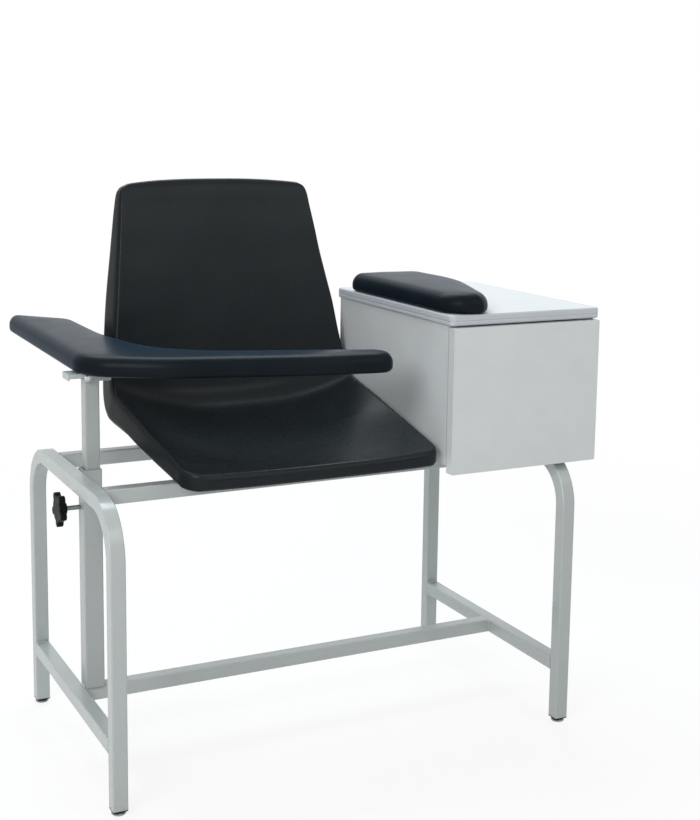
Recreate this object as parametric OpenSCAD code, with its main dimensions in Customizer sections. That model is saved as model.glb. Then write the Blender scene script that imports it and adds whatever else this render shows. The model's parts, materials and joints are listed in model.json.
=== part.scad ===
// Phlebotomy chair: a welded square-tube frame on glides carries a moulded one-piece seat shell,
// a flip-up padded armrest on a height-adjustable post, and a laminate cabinet with its own arm pad.
// +X is the sitter's left, +Y points backwards, +Z up. The origin is on the floor, midway between the legs.

/* [Frame] */
// Outside width of the square tube
tube_w = 25.4; // [22:0.1:30]
// Wall of the square tube
tube_wall = 1.6; // [1.2:0.1:2.5]
// Outer corner radius of the square tube
tube_corner = 2.5; // [1:0.1:4]
// Width over the two leg frames
frame_w = 873.2; // [840:1:960]
// Depth over the front and rear legs
frame_d = 512.8; // [480:1:560]
// Height of the seat rails' top above the floor
frame_h = 508; // [460:1:560]
// Centre-line radius of the leg frames' bends
bend_r = 82.5; // [60:0.5:100]
// Height of the lower rails' top above the floor
low_rail_top = 122; // [90:1:180]
// Place of the centre stretcher from the frame's middle, front negative
stretcher_y = -4; // [-30:1:30]
// Place of the front seat rail from the frame's middle, front negative
front_rail_y = -138; // [-150:1:-120]
// Place of the rear seat rail from the frame's middle
rear_rail_y = 127; // [110:1:140]

/* [Glides] */
// Height that a glide holds its tube off the floor
glide_h = 9; // [7:0.5:14]
// Diameter of a glide's foot
glide_d = 24; // [18:0.5:25]
// Diameter of a glide's threaded stem
glide_stem_d = 8; // [6:0.5:10]
// Depth of the insert in the tube's end
insert_l = 22; // [15:1:40]

/* [Post and clamp] */
// Outside width of the socket tube
socket_w = 33.3; // [31:0.1:35]
// Wall of the socket tube
socket_wall = 1.6; // [1.5:0.1:2]
// Height of the socket above the seat rails
socket_rise = 2; // [0:0.5:20]
// Width of the sliding arm post
post_w = 25.4; // [24:0.1:26]
// Wall of the sliding arm post
post_wall = 2; // [1.5:0.1:3]
// Length of the sliding arm post
post_l = 414; // [380:1:430]
// Height of the post's top above the seat rails
post_rise = 155; // [150:1:170]
// Height of the clamp screw below the seat rails
clamp_drop = 64.5; // [60:0.5:90]
// Diameter of the clamp screw's stud
stud_d = 8; // [6:0.5:9]
// Diameter of the clamp knob over its lobes
knob_d = 62; // [50:1:70]
// Thickness of the clamp knob's lobed disc
knob_t = 11; // [8:0.5:14]
// Number of lobes on the clamp knob
knob_lobes = 5; // [5:1:8]
// Distance of the knob's disc from the socket's face
knob_reach = 37.5; // [34:0.5:44]

/* [Armrest] */
// Width of the armrest over the long arm and the wing
arm_span = 512; // [490:1:530]
// Depth of the armrest from the long arm's front to the wing's tip
arm_run = 711; // [690:1:730]
// Thickness of the armrest pad
arm_t = 37; // [28:0.5:45]
// Height of the crown over the pads' edges
pad_crown = 5; // [2:0.5:8]
// Radius of the pads' top edges
pad_top_r = 13; // [8:0.5:14]
// Radius of the pads' bottom edges
pad_bottom_r = 8; // [4:0.5:10]
// Thickness of the plywood cores in the pads
core_t = 12; // [9:0.5:15]
// Distance of a core's edge from its pad's edge
core_inset = 20; // [16:1:28]
// Thickness of the hinge bracket's steel
bracket_t = 2.4; // [2:0.1:3]
// Diameter of the hinge bolt
hinge_bolt_d = 6; // [5:0.5:6]
// Length of the channel's nose in front of the hinge bolt
channel_nose = 30.5; // [26:0.5:34]

/* [Seat] */
// Place of the seat's middle from the frame's middle, left of the sitter positive
seat_x = -66; // [-70:1:-60]
// Width of the seat shell at the hips
seat_w = 490; // [470:1:490]
// Depth of the seat shell from its front edge to the back of its top
seat_d = 516; // [500:1:530]
// Height of the seat shell above the seat rails
shell_h = 485; // [440:1:520]
// Thickness of the seat over the rails
pan_t = 26; // [24:0.5:32]
// Distance between the seat bolts of one rail
seat_bolt_span = 180; // [140:1:200]
// Diameter of the seat and cabinet bolts
bolt_d = 6; // [5:0.5:8]

/* [Cabinet] */
// Width of the cabinet
cab_w = 304.8; // [290:1:320]
// Depth of the cabinet without its door
cab_d = 424; // [390:1:435]
// Height of the cabinet with its top
cab_h = 266.4; // [230:1:300]
// Gap between the seat shell and the cabinet
cab_gap = 1; // [0.5:0.5:10]
// Place of the carcass' front edge from the frame's middle, front negative
cab_front_y = -223.5; // [-230:0.5:-218]
// Thickness of the cabinet's sides, bottom and back
panel_t = 18; // [15:0.5:20]
// Thickness of the cabinet's top
top_t = 19; // [16:0.5:25]
// Overhang of the top at the sides
top_overhang = 4; // [2:0.5:8]
// Width of the top's edge moulding
edge_w = 6; // [5:0.5:8]
// Thickness of the door
door_t = 18; // [15:0.5:20]
// Distance that the door hangs below the cabinet
door_drop = 14; // [8:0.5:16]
// Gap between the door and the carcass
door_gap = 2.5; // [2.2:0.1:4]
// Height of one door hinge
hinge_h = 63.5; // [50:0.5:76]
// Thickness of the cabinet's arm pad
cab_pad_t = 37; // [28:0.5:45]
// Width of the cabinet's arm pad
cab_pad_w = 154; // [145:1:165]
// Length of the cabinet's arm pad
cab_pad_l = 406; // [390:1:410]

/* [Hidden] */
$fn = 48;
steel = "#AEB6B4";
laminate = "#C6CBCC";
chrome = "#C9CCCE";
zinc = "#B9BCBE";
black = "#17191B";
plywood = "#C9A46B";
brass = "#C5A253";

// Named clearances and one overrun for every cut
seat_gap = 0.3;
run_fit = 0.05;
bolt_play = 0.5;
over = 1;

// Frame
leg_x = (frame_w - tube_w) / 2;
leg_y = (frame_d - tube_w) / 2;
inner_x = leg_x - tube_w / 2;
rail_z = frame_h - tube_w / 2;
low_z = low_rail_top - tube_w / 2;
bore_w = tube_w - 2 * tube_wall;

// Post, socket and clamp
socket_x = -inner_x + socket_w / 2;
socket_top = frame_h + socket_rise;
socket_bore = socket_w - 2 * socket_wall;
post_x = socket_x + (socket_bore - post_w) / 2 - seat_gap;
post_top = frame_h + post_rise;
clamp_z = frame_h - clamp_drop;
socket_face_x = socket_x - socket_w / 2;
post_face_x = post_x - post_w / 2;
nut_d = 14;
nut_t = 1;
barrel_d = 11;
tip_l = 4;
tip_step = 0.5;
tip_d = stud_d - 2 * tip_step;
spigot_d = tip_d / 2;
spigot_l = tip_l / 2;
hub_d = 21;
hub_l = 6;
knob_x = socket_face_x - knob_reach;
knob_insert_d = 13;
lobe_r = knob_d * 0.12;

// Hinge of the armrest
saddle_l = 45;
saddle_w = post_w + 2 * (bracket_t + bolt_play);
pivot_inset = 9.5;
pivot_clear = 4.8;
ear_r = 4.9;
pivot_x = post_x - pivot_inset;
pivot_z = post_top + bracket_t + pivot_clear;
ear_top = pivot_z + ear_r;
channel_w = saddle_w + 2 * bolt_play + 2 * bracket_t;
channel_top = ear_top + seat_gap + bracket_t;
channel_h = 8;
lip_h = 11;
arm_z = channel_top + seat_gap;
washer_t = 1;
washer_face = channel_w / 2 + seat_gap;
washer_d = 2.2 * hinge_bolt_d;
head_h = 4;
pad_side = 21.95;
arm_left = pivot_x - pad_side;
arm_hinge_share = 0.3052;
arm_front = stretcher_y - arm_hinge_share * arm_run;
arm_neck_share = 0.298;
channel_l = channel_nose - pad_side + arm_neck_share * arm_span;
arm_screw_d = 4;
arm_screw_shares = [0.12, 0.36, 0.6, 0.84];

// Armrest outline: shares of its span, its run and its span again for the corner's radius
arm_tip_share = [0.041, 1];
arm_end_share = [0.999, 0.049];
arm_outer_shares = [[0.014, 1, 0.025], [0, 0.229, 0.176], [0.242, 0.125, 0.6], [0.711, 0.031, 0.9],
    [1, 0, 0.057]];
arm_inner_shares = [[0.0635, 1, 0.023], [0.225, 0.871, 0.117], [0.225, 0.578, 0.6], [0.296, 0.257, 0.371],
    [0.996, 0.089, 0.07]];

// Cabinet
cab_x = seat_x + seat_w / 2 + cab_gap;
cab_z = frame_h;
cab_back_y = cab_front_y + cab_d;
cab_right = cab_x + cab_w;
top_z = cab_z + cab_h - top_t;
inside_w = cab_w - 2 * panel_t;
door_back_y = cab_front_y - door_gap;
door_z = cab_z - door_drop;
door_h = top_z - door_gap - door_z;
door_corner = 2.5;
top_front_y = door_back_y - 0.7 * door_t;
top_back_y = cab_back_y + 2 * top_overhang;
top_corner = 10;
edge_r = edge_w / 2;
leaf_t = 1.1;
leaf_inset = 3;
leaf_w = panel_t - leaf_inset;
knuckle_r = 2.6;
hinge_x = cab_right + knuckle_r + seat_gap;
hinge_y = cab_front_y - door_gap / 2;
hinge_inset = 25;
leaf_screw_d = 3;
leaf_screw_l = 12;
pin_d = 2.4;
dowel_d = 8;
dowel_l = 30;
dowel_inset_shares = [0.12, 0.5, 0.88];
bumper_d = 9;
catch_w = 40;
catch_d = 18;
catch_h = 12;
strike_t = 1.2;
cab_bolt_shares = [0.211, 0.87];
rail_bolt_l = tube_wall + panel_t * 0.7;
bolt_head_d = 2 * bolt_d;
bolt_head_h = 4;
bolt_washer_t = 1.2;
bolt_washer_d = 2.6 * bolt_d;
insert_d = 10;
insert_h = 16;

// Cabinet pad outline: shares of its width and length, and of its width for the corner's radius
pad_forward = 19.5;
pad_left = cab_x - top_overhang;
pad_front = cab_front_y - pad_forward;
pad_z = cab_z + cab_h + seat_gap;
pad_tip_share = [0.416, 1];
pad_end_share = [0.386, 0];
pad_left_shares = [[0, 0.984, 0.143], [0, 0.014, 0.37]];
pad_right_shares = [[1, 0.978, 0.2], [1.04, 0.566, 2.3], [0.535, 0.03, 0.44]];

// Seat shell: shares of its depth and height for the rim and the middle, inside then outside,
// and the half width's share of the hip's half width, from the front edge to the back's top
shell_setback = 20.4;
shell_front = shell_setback - frame_d / 2;
rim_in_shares = [[0, 0.04], [0.008, 0.052], [0.027, 0.058], [0.09, 0.071], [0.178, 0.093], [0.275, 0.114],
    [0.38, 0.133], [0.484, 0.151], [0.581, 0.169], [0.659, 0.187], [0.713, 0.204], [0.742, 0.231],
    [0.762, 0.276], [0.773, 0.33], [0.785, 0.396], [0.806, 0.499], [0.837, 0.602], [0.868, 0.705],
    [0.893, 0.808], [0.915, 0.884], [0.93, 0.941], [0.94, 0.965], [0.951, 0.977]];
mid_in_shares = [[0, 0.043], [0.008, 0.05], [0.027, 0.054], [0.09, 0.0536], [0.178, 0.0536], [0.275, 0.0536],
    [0.38, 0.0545], [0.484, 0.056], [0.581, 0.058], [0.674, 0.062], [0.748, 0.073], [0.81, 0.104],
    [0.849, 0.159], [0.86, 0.241], [0.862, 0.355], [0.872, 0.474], [0.891, 0.592], [0.913, 0.701],
    [0.928, 0.808], [0.942, 0.893], [0.953, 0.96], [0.963, 0.985], [0.971, 0.994]];
rim_out_shares = [[0, 0.017], [0.008, 0.0055], [0.027, 0.001], [0.09, 0.008], [0.178, 0.021], [0.275, 0.034],
    [0.38, 0.048], [0.484, 0.063], [0.581, 0.078], [0.69, 0.086], [0.774, 0.09], [0.841, 0.118],
    [0.886, 0.171], [0.91, 0.256], [0.934, 0.375], [0.957, 0.483], [0.976, 0.588], [0.988, 0.691],
    [0.996, 0.798], [1, 0.876], [0.998, 0.934], [0.989, 0.959], [0.971, 0.973]];
mid_out_shares = [[0, 0.015], [0.008, 0.005], [0.027, 0.0008], [0.09, 0.0006], [0.178, 0.0006],
    [0.275, 0.0006],
    [0.38, 0.0006], [0.484, 0.0006], [0.581, 0.0006], [0.7, 0.0015], [0.777, 0.008], [0.845, 0.037],
    [0.895, 0.099], [0.917, 0.198], [0.922, 0.33], [0.93, 0.468], [0.946, 0.586], [0.965, 0.695],
    [0.979, 0.804], [0.99, 0.889], [1, 0.956], [0.996, 0.982], [0.985, 0.992]];
width_shares = [0.884, 0.924, 0.943, 0.953, 0.965, 0.976, 0.984, 0.99, 0.994, 0.996, 0.996, 0.99, 0.977,
    0.961, 0.938, 0.911, 0.88, 0.849, 0.821, 0.8, 0.782, 0.758, 0.713];
cross_shares = [0.955, 0.86, 0.7, 0.5, 0.25, 0];
rim_round_shares = [0.985, 0.998];
pan_base_share = 0.0536;

// Rounded square with exact arcs, centred
module rounded_square(side, r) {
    square([side, side - 2 * r], center = true);
    square([side - 2 * r, side], center = true);
    for (sx = [-1, 1], sy = [-1, 1])
        translate([sx * (side / 2 - r), sy * (side / 2 - r)])
            circle(r);
}

// Rounded rectangle from the origin, with exact arcs
module rounded_rectangle(w, h, r) {
    translate([r, 0])
        square([w - 2 * r, h]);
    translate([0, r])
        square([w, h - 2 * r]);
    for (x = [r, w - r], y = [r, h - r])
        translate([x, y])
            circle(r);
}

// Straight square tube along Z with its bore
module tube(side, wall, length) {
    difference() {
        linear_extrude(length)
            rounded_square(side, tube_corner);
        translate([0, 0, -over])
            linear_extrude(length + 2 * over)
                rounded_square(side - 2 * wall, tube_corner / 2);
    }
}

// Inverted U along Y: two legs, two bends and the top rail, as one bar of the given side
module u_bar(side, r, extra) {
    leg_l = frame_h - tube_w / 2 - bend_r - glide_h;
    rail_l = 2 * (leg_y - bend_r);
    for (s = [-1, 1]) {
        translate([0, s * leg_y, glide_h - extra])
            linear_extrude(leg_l + extra)
                rounded_square(side, r);
        translate([0, s * (leg_y - bend_r), rail_z - bend_r])
            rotate([90, 0, s > 0 ? 90 : -90])
                rotate_extrude(angle = 90)
                    translate([bend_r, 0])
                        rounded_square(side, r);
    }
    translate([0, rail_l / 2, rail_z])
        rotate([90, 0, 0])
            linear_extrude(rail_l)
                rounded_square(side, r);
}

module leg_frame(x) {
    color(steel)
        translate([x, 0, 0])
            difference() {
                u_bar(tube_w, tube_corner, 0);
                u_bar(bore_w, tube_corner / 2, over);
            }
}

module left_leg_frame() {
    leg_frame(-leg_x);
}

module right_leg_frame() {
    leg_frame(leg_x);
}

module side_rail(x) {
    length = frame_d - 2 * tube_w;
    color(steel)
        translate([x, length / 2, low_z])
            rotate([90, 0, 0])
                tube(tube_w, tube_wall, length);
}

module left_side_rail() {
    side_rail(-leg_x);
}

module right_side_rail() {
    side_rail(leg_x);
}

// Tube across the frame, between the leg frames' inner faces
module cross_tube(y, z) {
    translate([-inner_x, y, z])
        rotate([90, 0, 90])
            tube(tube_w, tube_wall, 2 * inner_x);
}

module center_stretcher() {
    color(steel)
        cross_tube(stretcher_y, low_z);
}

function seat_bolt_xs() = [seat_x - seat_bolt_span / 2, seat_x + seat_bolt_span / 2];
function cab_bolt_xs() = [for (share = cab_bolt_shares) cab_x + share * (inner_x - cab_x)];
rail_ys = [front_rail_y, rear_rail_y];

// Rail with bolt holes in its top wall and wider access holes in its bottom wall
module seat_rail(y) {
    color(steel)
        difference() {
            cross_tube(y, rail_z);
            for (x = concat(seat_bolt_xs(), cab_bolt_xs())) {
                translate([x, y, rail_z])
                    cylinder(d = bolt_d + 2 * bolt_play, h = tube_w / 2 + over);
                translate([x, y, rail_z - tube_w / 2 - over])
                    cylinder(d = bolt_washer_d + 2 * bolt_play, h = tube_w / 2);
            }
        }
}

module front_seat_rail() {
    seat_rail(front_rail_y);
}

module rear_seat_rail() {
    seat_rail(rear_rail_y);
}

module at_legs() {
    for (x = [-leg_x, leg_x], y = [-leg_y, leg_y])
        translate([x, y, 0])
            children();
}

// Plug pressed into each leg's end, bored for the glide's stem
module glide_inserts() {
    flange_t = glide_h * 0.2;
    color(black)
        at_legs()
            difference() {
                union() {
                    translate([0, 0, glide_h])
                        linear_extrude(insert_l)
                            rounded_square(bore_w, tube_corner / 2);
                    translate([0, 0, glide_h - flange_t])
                        linear_extrude(flange_t)
                            rounded_square(tube_w, tube_corner);
                }
                cylinder(d = glide_stem_d + 2 * run_fit, h = glide_h + insert_l + over);
            }
}

module glide_stems() {
    stem_z = glide_h * 0.5;
    color(zinc)
        at_legs()
            translate([0, 0, stem_z])
                cylinder(d = glide_stem_d, h = glide_h - stem_z + insert_l * 0.9);
}

// Domed steel foot, bored for its stem
module glide_feet() {
    foot_h = glide_h * 0.72;
    rim_h = foot_h * 0.45;
    dome_d = glide_d * 0.6;
    color(chrome)
        at_legs()
            difference() {
                rotate_extrude()
                    polygon([[0, 0], [glide_d / 2 - rim_h / 2, 0], [glide_d / 2, rim_h / 2],
                        [glide_d / 2, rim_h], [dome_d / 2, foot_h], [0, foot_h]]);
                translate([0, 0, glide_h * 0.5])
                    cylinder(d = glide_stem_d, h = foot_h);
            }
}

// Socket tube that stands on the stretcher against the left top rail, bored for the clamp screw
module post_socket() {
    color(steel)
        difference() {
            translate([socket_x, stretcher_y, low_rail_top])
                tube(socket_w, socket_wall, socket_top - low_rail_top);
            translate([socket_face_x - over, stretcher_y, clamp_z])
                rotate([0, 90, 0])
                    cylinder(d = barrel_d + 2 * run_fit, h = socket_wall + 2 * over);
        }
}

// Threaded insert for the clamp screw: a thin flange outside and a barrel through the socket's wall
module clamp_nut() {
    color(steel)
        translate([socket_face_x - nut_t, stretcher_y, clamp_z])
            rotate([0, 90, 0])
                difference() {
                    union() {
                        cylinder(d = nut_d, h = nut_t);
                        cylinder(d = barrel_d, h = nut_t + socket_wall);
                    }
                    translate([0, 0, -over])
                        cylinder(d = stud_d + 2 * run_fit, h = nut_t + socket_wall + 2 * over);
                }
}

// Soft tip that bears on the post, held on the stud's spigot
module clamp_tip() {
    color(black)
        translate([post_face_x - seat_gap - tip_l, stretcher_y, clamp_z])
            rotate([0, 90, 0])
                difference() {
                    cylinder(d = tip_d, h = tip_l);
                    translate([0, 0, -over])
                        cylinder(d = spigot_d + 2 * run_fit, h = over + spigot_l + seat_gap);
                }
}

module clamp_stud() {
    stud_end_x = post_face_x - 2 * seat_gap - tip_l;
    stud_start_x = knob_x + knob_t / 2;
    color(zinc)
        translate([stud_start_x, stretcher_y, clamp_z])
            rotate([0, 90, 0]) {
                cylinder(d = stud_d, h = stud_end_x - stud_start_x);
                cylinder(d = spigot_d, h = stud_end_x - stud_start_x + spigot_l);
            }
}

// Lobed disc with a hub, both round the threaded insert
module clamp_knob() {
    core_r = knob_d / 2 - lobe_r;
    color(black)
        translate([knob_x, stretcher_y, clamp_z])
            rotate([0, 90, 0])
                difference() {
                    union() {
                        translate([0, 0, -knob_t / 2])
                            linear_extrude(knob_t) {
                                circle(core_r * 0.97);
                                for (i = [0 : knob_lobes - 1])
                                    rotate(i * 360 / knob_lobes)
                                        translate([core_r, 0])
                                            circle(lobe_r);
                            }
                        cylinder(d = hub_d, h = hub_l + knob_t / 2);
                    }
                    translate([0, 0, -over])
                        cylinder(d = knob_insert_d, h = hub_l + knob_t / 2 + 2 * over);
                }
}

// Threaded brass insert that joins the knob and its stud
module knob_insert() {
    color(brass)
        translate([knob_x, stretcher_y, clamp_z])
            rotate([0, 90, 0])
                difference() {
                    cylinder(d = knob_insert_d, h = hub_l + knob_t / 2);
                    translate([0, 0, knob_t / 2])
                        cylinder(d = stud_d, h = hub_l + over);
                }
}

module arm_post() {
    color(steel)
        translate([post_x, stretcher_y, post_top - post_l])
            tube(post_w, post_wall, post_l);
}

// Upward U on the post's top, with ears rounded about the hinge bolt
module post_saddle() {
    left = post_x - post_w / 2;
    color(steel)
        difference() {
            union() {
                translate([left, stretcher_y - saddle_w / 2, post_top])
                    cube([saddle_l, saddle_w, bracket_t]);
                for (s = [-1, 1])
                    translate([0, stretcher_y + s * (saddle_w - bracket_t) / 2, 0]) {
                        translate([pivot_x, -bracket_t / 2, post_top])
                            cube([left + saddle_l - pivot_x, bracket_t, ear_top - post_top]);
                        translate([pivot_x, 0, pivot_z])
                            rotate([90, 0, 0])
                                cylinder(r = ear_r, h = bracket_t, center = true);
                    }
            }
            translate([pivot_x, stretcher_y, pivot_z])
                rotate([90, 0, 0])
                    cylinder(d = hinge_bolt_d, h = saddle_w + 2 * over, center = true);
        }
}

module hinge_bolt() {
    reach = washer_face + washer_t;
    color(zinc)
        translate([pivot_x, stretcher_y, pivot_z])
            rotate([90, 0, 0]) {
                translate([0, 0, -reach - head_h])
                    cylinder(d = hinge_bolt_d, h = 2 * reach + head_h);
                translate([0, 0, reach])
                    cylinder(d = 1.7 * hinge_bolt_d, h = head_h * 0.6);
                translate([0, 0, reach + head_h * 0.6])
                    cylinder(d1 = 1.7 * hinge_bolt_d, d2 = 1.2 * hinge_bolt_d, h = head_h * 0.4);
            }
}

module hinge_nut() {
    color(zinc)
        translate([pivot_x, stretcher_y + washer_face + washer_t, pivot_z])
            rotate([-90, 0, 0])
                difference() {
                    cylinder(d = 1.8 * hinge_bolt_d, h = head_h, $fn = 6);
                    translate([0, 0, -over])
                        cylinder(d = hinge_bolt_d, h = head_h + 2 * over);
                }
}

module hinge_washers() {
    color(zinc)
        for (s = [-1, 1])
            translate([pivot_x, stretcher_y + s * (washer_face + washer_t / 2), pivot_z])
                rotate([90, 0, 0])
                    difference() {
                        cylinder(d = washer_d, h = washer_t, center = true);
                        cylinder(d = hinge_bolt_d + 2 * run_fit, h = washer_t + 2 * over, center = true);
                    }
}

function arm_screw_xs() = [for (share = arm_screw_shares) pivot_x + share * (channel_l - channel_nose)];

// Downward channel over the saddle, with round ears about the bolt and an end plate at its nose
module arm_channel() {
    left = pivot_x - channel_nose;
    color(steel)
        difference() {
            union() {
                translate([left, stretcher_y - channel_w / 2, channel_top - bracket_t])
                    cube([channel_l, channel_w, bracket_t]);
                for (s = [-1, 1])
                    translate([left, stretcher_y + s * (channel_w - bracket_t) / 2 - bracket_t / 2,
                            channel_top - channel_h])
                        cube([channel_l, bracket_t, channel_h]);
                for (s = [-1, 1])
                    translate([pivot_x, stretcher_y + s * (channel_w - bracket_t) / 2, pivot_z])
                        rotate([90, 0, 0])
                            cylinder(r = ear_r, h = bracket_t, center = true);
                translate([left - bracket_t, stretcher_y - channel_w / 2, channel_top - lip_h])
                    cube([bracket_t, channel_w, lip_h]);
            }
            translate([pivot_x, stretcher_y, pivot_z])
                rotate([90, 0, 0])
                    cylinder(d = hinge_bolt_d + 2 * run_fit, h = channel_w + 2 * over, center = true);
            for (x = arm_screw_xs())
                translate([x, stretcher_y, channel_top - bracket_t - over])
                    cylinder(d = arm_screw_d + bolt_play, h = bracket_t + 2 * over);
        }
}

// Plane geometry for the pads' outlines
function unit(v) = v / norm(v);
function turn(v, a) = [v.x * cos(a) - v.y * sin(a), v.x * sin(a) + v.y * cos(a)];
function bend_angle(u, v) = atan2(u.x * v.y - u.y * v.x, u.x * v.x + u.y * v.y);
// Arc of radius r that rounds corner b between a and c, in n steps
function corner_arc(a, b, c, r, n) =
    let (u = unit(b - a), v = unit(c - b), phi = bend_angle(u, v), side = sign(phi),
        start = b - u * r * tan(abs(phi) / 2), centre = start + turn(u, 90) * r * side)
    [for (k = [0 : n]) centre + turn(start - centre, phi * k / n)];
// Open chain from a to e round the corners, each [x, y, r]
function chain(a, corners, e, n) =
    let (ps = concat([a], [for (c = corners) [c.x, c.y]], [e]))
    concat([a],
        [for (i = [1 : len(ps) - 2]) each corner_arc(ps[i - 1], ps[i], ps[i + 1], corners[i - 1][2], n)],
        [e]);
function run_lengths(ps) = [for (i = 0, s = 0; i < len(ps); i = i + 1,
    s = s + (i < len(ps) ? norm(ps[i] - ps[i - 1]) : 0)) s];
// Point at length s along a chain
function chain_point(ps, runs, s) =
    let (i = min(len(ps) - 2, max([for (k = [0 : len(ps) - 1]) if (runs[k] <= s) k])),
        gap = runs[i + 1] - runs[i])
    ps[i] + (ps[i + 1] - ps[i]) * (gap > 0 ? (s - runs[i]) / gap : 0);
// Same number of points along a chain, closer together at both ends
function even_points(ps, n) =
    let (runs = run_lengths(ps), total = runs[len(ps) - 1])
    [for (k = [0 : n]) chain_point(ps, runs, total * (1 - cos(180 * (0.04 + 0.92 * k / n))) / 2)];

pad_steps = 34;
arc_steps = 6;

// Share by which a pad's edge rounding shortens a narrow section of width w
function end_drop(w, r) = let (d = max(0, 1 - w / (2 * r))) 1 - sqrt(1 - d * d);
// One cross-section of a pad, from outer edge p to inner edge q: [share across, height] of each corner
function pad_section(p, q, t) =
    let (w = norm(q - p), drop = end_drop(w, pad_top_r), r = pad_top_r * (1 - drop / 2),
        br = pad_bottom_r * (1 - drop / 2), a = min(pad_top_r / w, 0.3), b = min(pad_bottom_r / w, 0.2),
        lo = 0.6 * drop * pad_bottom_r, crown = pad_crown * (1 - drop),
        top = t - pad_crown - drop * pad_top_r)
    [for (f = [[b, lo], [0.3 * b, lo + 0.3 * br], [0, lo + br], [0, top - r], [0.27 * a, top - 0.3 * r],
            [a, top], [0.35, top + 0.7 * crown], [0.5, top + crown], [0.65, top + 0.7 * crown],
            [1 - a, top], [1 - 0.27 * a, top - 0.3 * r], [1, top - r], [1, lo + br],
            [1 - 0.3 * b, lo + 0.3 * br], [1 - b, lo]])
        [p.x + (q.x - p.x) * f[0], p.y + (q.y - p.y) * f[0], f[1]]];

// Closed skin over rings of equal length, with a fan on the first and the last
module skin(rings) {
    n = len(rings);
    m = len(rings[0]);
    first = [for (i = [1 : m - 2]) [0, i, i + 1]];
    last = [for (i = [1 : m - 2]) [(n - 1) * m, (n - 1) * m + i + 1, (n - 1) * m + i]];
    sides = [for (k = [0 : n - 2], i = [0 : m - 1])
        let (a = k * m + i, b = k * m + (i + 1) % m)
        each [[a, a + m, b], [b, a + m, b + m]]];
    polyhedron([for (ring = rings) each ring], concat(first, sides, last));
}

// Outline of a core: points midway between a pad's sections, drawn in by the core's inset
function core_outline(outer, inner) =
    let (p = [for (k = [1 : len(outer) - 1]) (outer[k - 1] + outer[k]) / 2],
        q = [for (k = [1 : len(inner) - 1]) (inner[k - 1] + inner[k]) / 2],
        ok = [for (k = [0 : len(p) - 1]) if (norm(q[k] - p[k]) > 2.4 * core_inset) k])
    concat([for (k = ok) p[k] + unit(q[k] - p[k]) * core_inset],
        [for (i = [len(ok) - 1 : -1 : 0]) q[ok[i]] + unit(p[ok[i]] - q[ok[i]]) * core_inset]);

module pad_body(outer, inner, t, z) {
    difference() {
        translate([0, 0, z])
            skin([for (k = [0 : len(outer) - 1]) pad_section(outer[k], inner[k], t)]);
        translate([0, 0, z - over])
            linear_extrude(core_t + over)
                polygon(core_outline(outer, inner));
    }
}

// Armrest outline in place
function arm_point(share) = [arm_left + share.x * arm_span, arm_front + share.y * arm_run];
function arm_chain(shares) = chain(arm_point(arm_tip_share),
    [for (s = shares) [arm_point(s).x, arm_point(s).y, s[2] * arm_span]],
    arm_point(arm_end_share), arc_steps);
arm_outer = even_points(arm_chain(arm_outer_shares), pad_steps);
arm_inner = even_points(arm_chain(arm_inner_shares), pad_steps);

module arm_pad() {
    color(black)
        pad_body(arm_outer, arm_inner, arm_t, arm_z);
}

module arm_pad_core() {
    color(plywood)
        difference() {
            translate([0, 0, arm_z])
                linear_extrude(core_t)
                    polygon(core_outline(arm_outer, arm_inner));
            for (x = arm_screw_xs())
                translate([x, stretcher_y, arm_z - over])
                    cylinder(d = arm_screw_d, h = core_t * 0.9 + over);
        }
}

module wood_screw(d, shank, head) {
    cylinder(d = d, h = shank);
    translate([0, 0, -head])
        cylinder(d1 = 1.5 * d, d2 = 2 * d, h = head);
}

module arm_pad_screws() {
    color(zinc)
        for (x = arm_screw_xs())
            translate([x, stretcher_y, channel_top - bracket_t])
                wood_screw(arm_screw_d, bracket_t + seat_gap + core_t * 0.85, arm_screw_d / 2);
}

// Seat shell point from a share pair, at x
function shell_point(x, share) = [x, shell_front + share.x * seat_d, frame_h + share.y * shell_h];
function pan_lift(share) = max(0, 1 - share.x) * (pan_t - pan_base_share * shell_h);
function blend(a, b, f) = a * (1 - f) + b * f;
// Inside and outside of the shell at station k, for the share u of the half width
function shell_in(k, u) =
    let (p = blend(mid_in_shares[k], rim_in_shares[k], pow(abs(u), 2.6)))
    shell_point(seat_x + u * width_shares[k] * seat_w / 2, p) + [0, 0, k < 2 ? 0 : pan_lift(p)];
function shell_out(k, u) =
    shell_point(seat_x + u * width_shares[k] * seat_w / 2,
        blend(mid_out_shares[k], rim_out_shares[k], pow(abs(u), 3.4)));
function shell_side(k, s, f) = blend(shell_out(k, s), shell_in(k, s), f);
shell_ring_us = concat([for (u = cross_shares) u],
    [for (i = [len(cross_shares) - 2 : -1 : 0]) -cross_shares[i]]);
function shell_ring(k) = concat(
    [for (u = shell_ring_us) shell_out(k, u)],
    [shell_side(k, -rim_round_shares[0], 0.03), shell_side(k, -1, 0.14), shell_side(k, -1, 0.8),
        shell_side(k, -rim_round_shares[1], 0.92)],
    [for (i = [len(shell_ring_us) - 1 : -1 : 0]) shell_in(k, shell_ring_us[i])],
    [shell_side(k, rim_round_shares[1], 0.92), shell_side(k, 1, 0.8), shell_side(k, 1, 0.14),
        shell_side(k, rim_round_shares[0], 0.03)]);

module at_seat_bolts(z) {
    for (x = seat_bolt_xs(), y = rail_ys)
        translate([x, y, z])
            children();
}

module seat_shell() {
    color(black)
        difference() {
            skin([for (k = [0 : len(width_shares) - 1]) shell_ring(k)]);
            at_seat_bolts(frame_h - over)
                cylinder(d = insert_d, h = insert_h + seat_gap + over);
        }
}

module seat_inserts() {
    color(brass)
        at_seat_bolts(frame_h + seat_gap)
            difference() {
                cylinder(d = insert_d, h = insert_h);
                translate([0, 0, -over])
                    cylinder(d = bolt_d, h = insert_h - bolt_d / 2 + over);
            }
}

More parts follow.
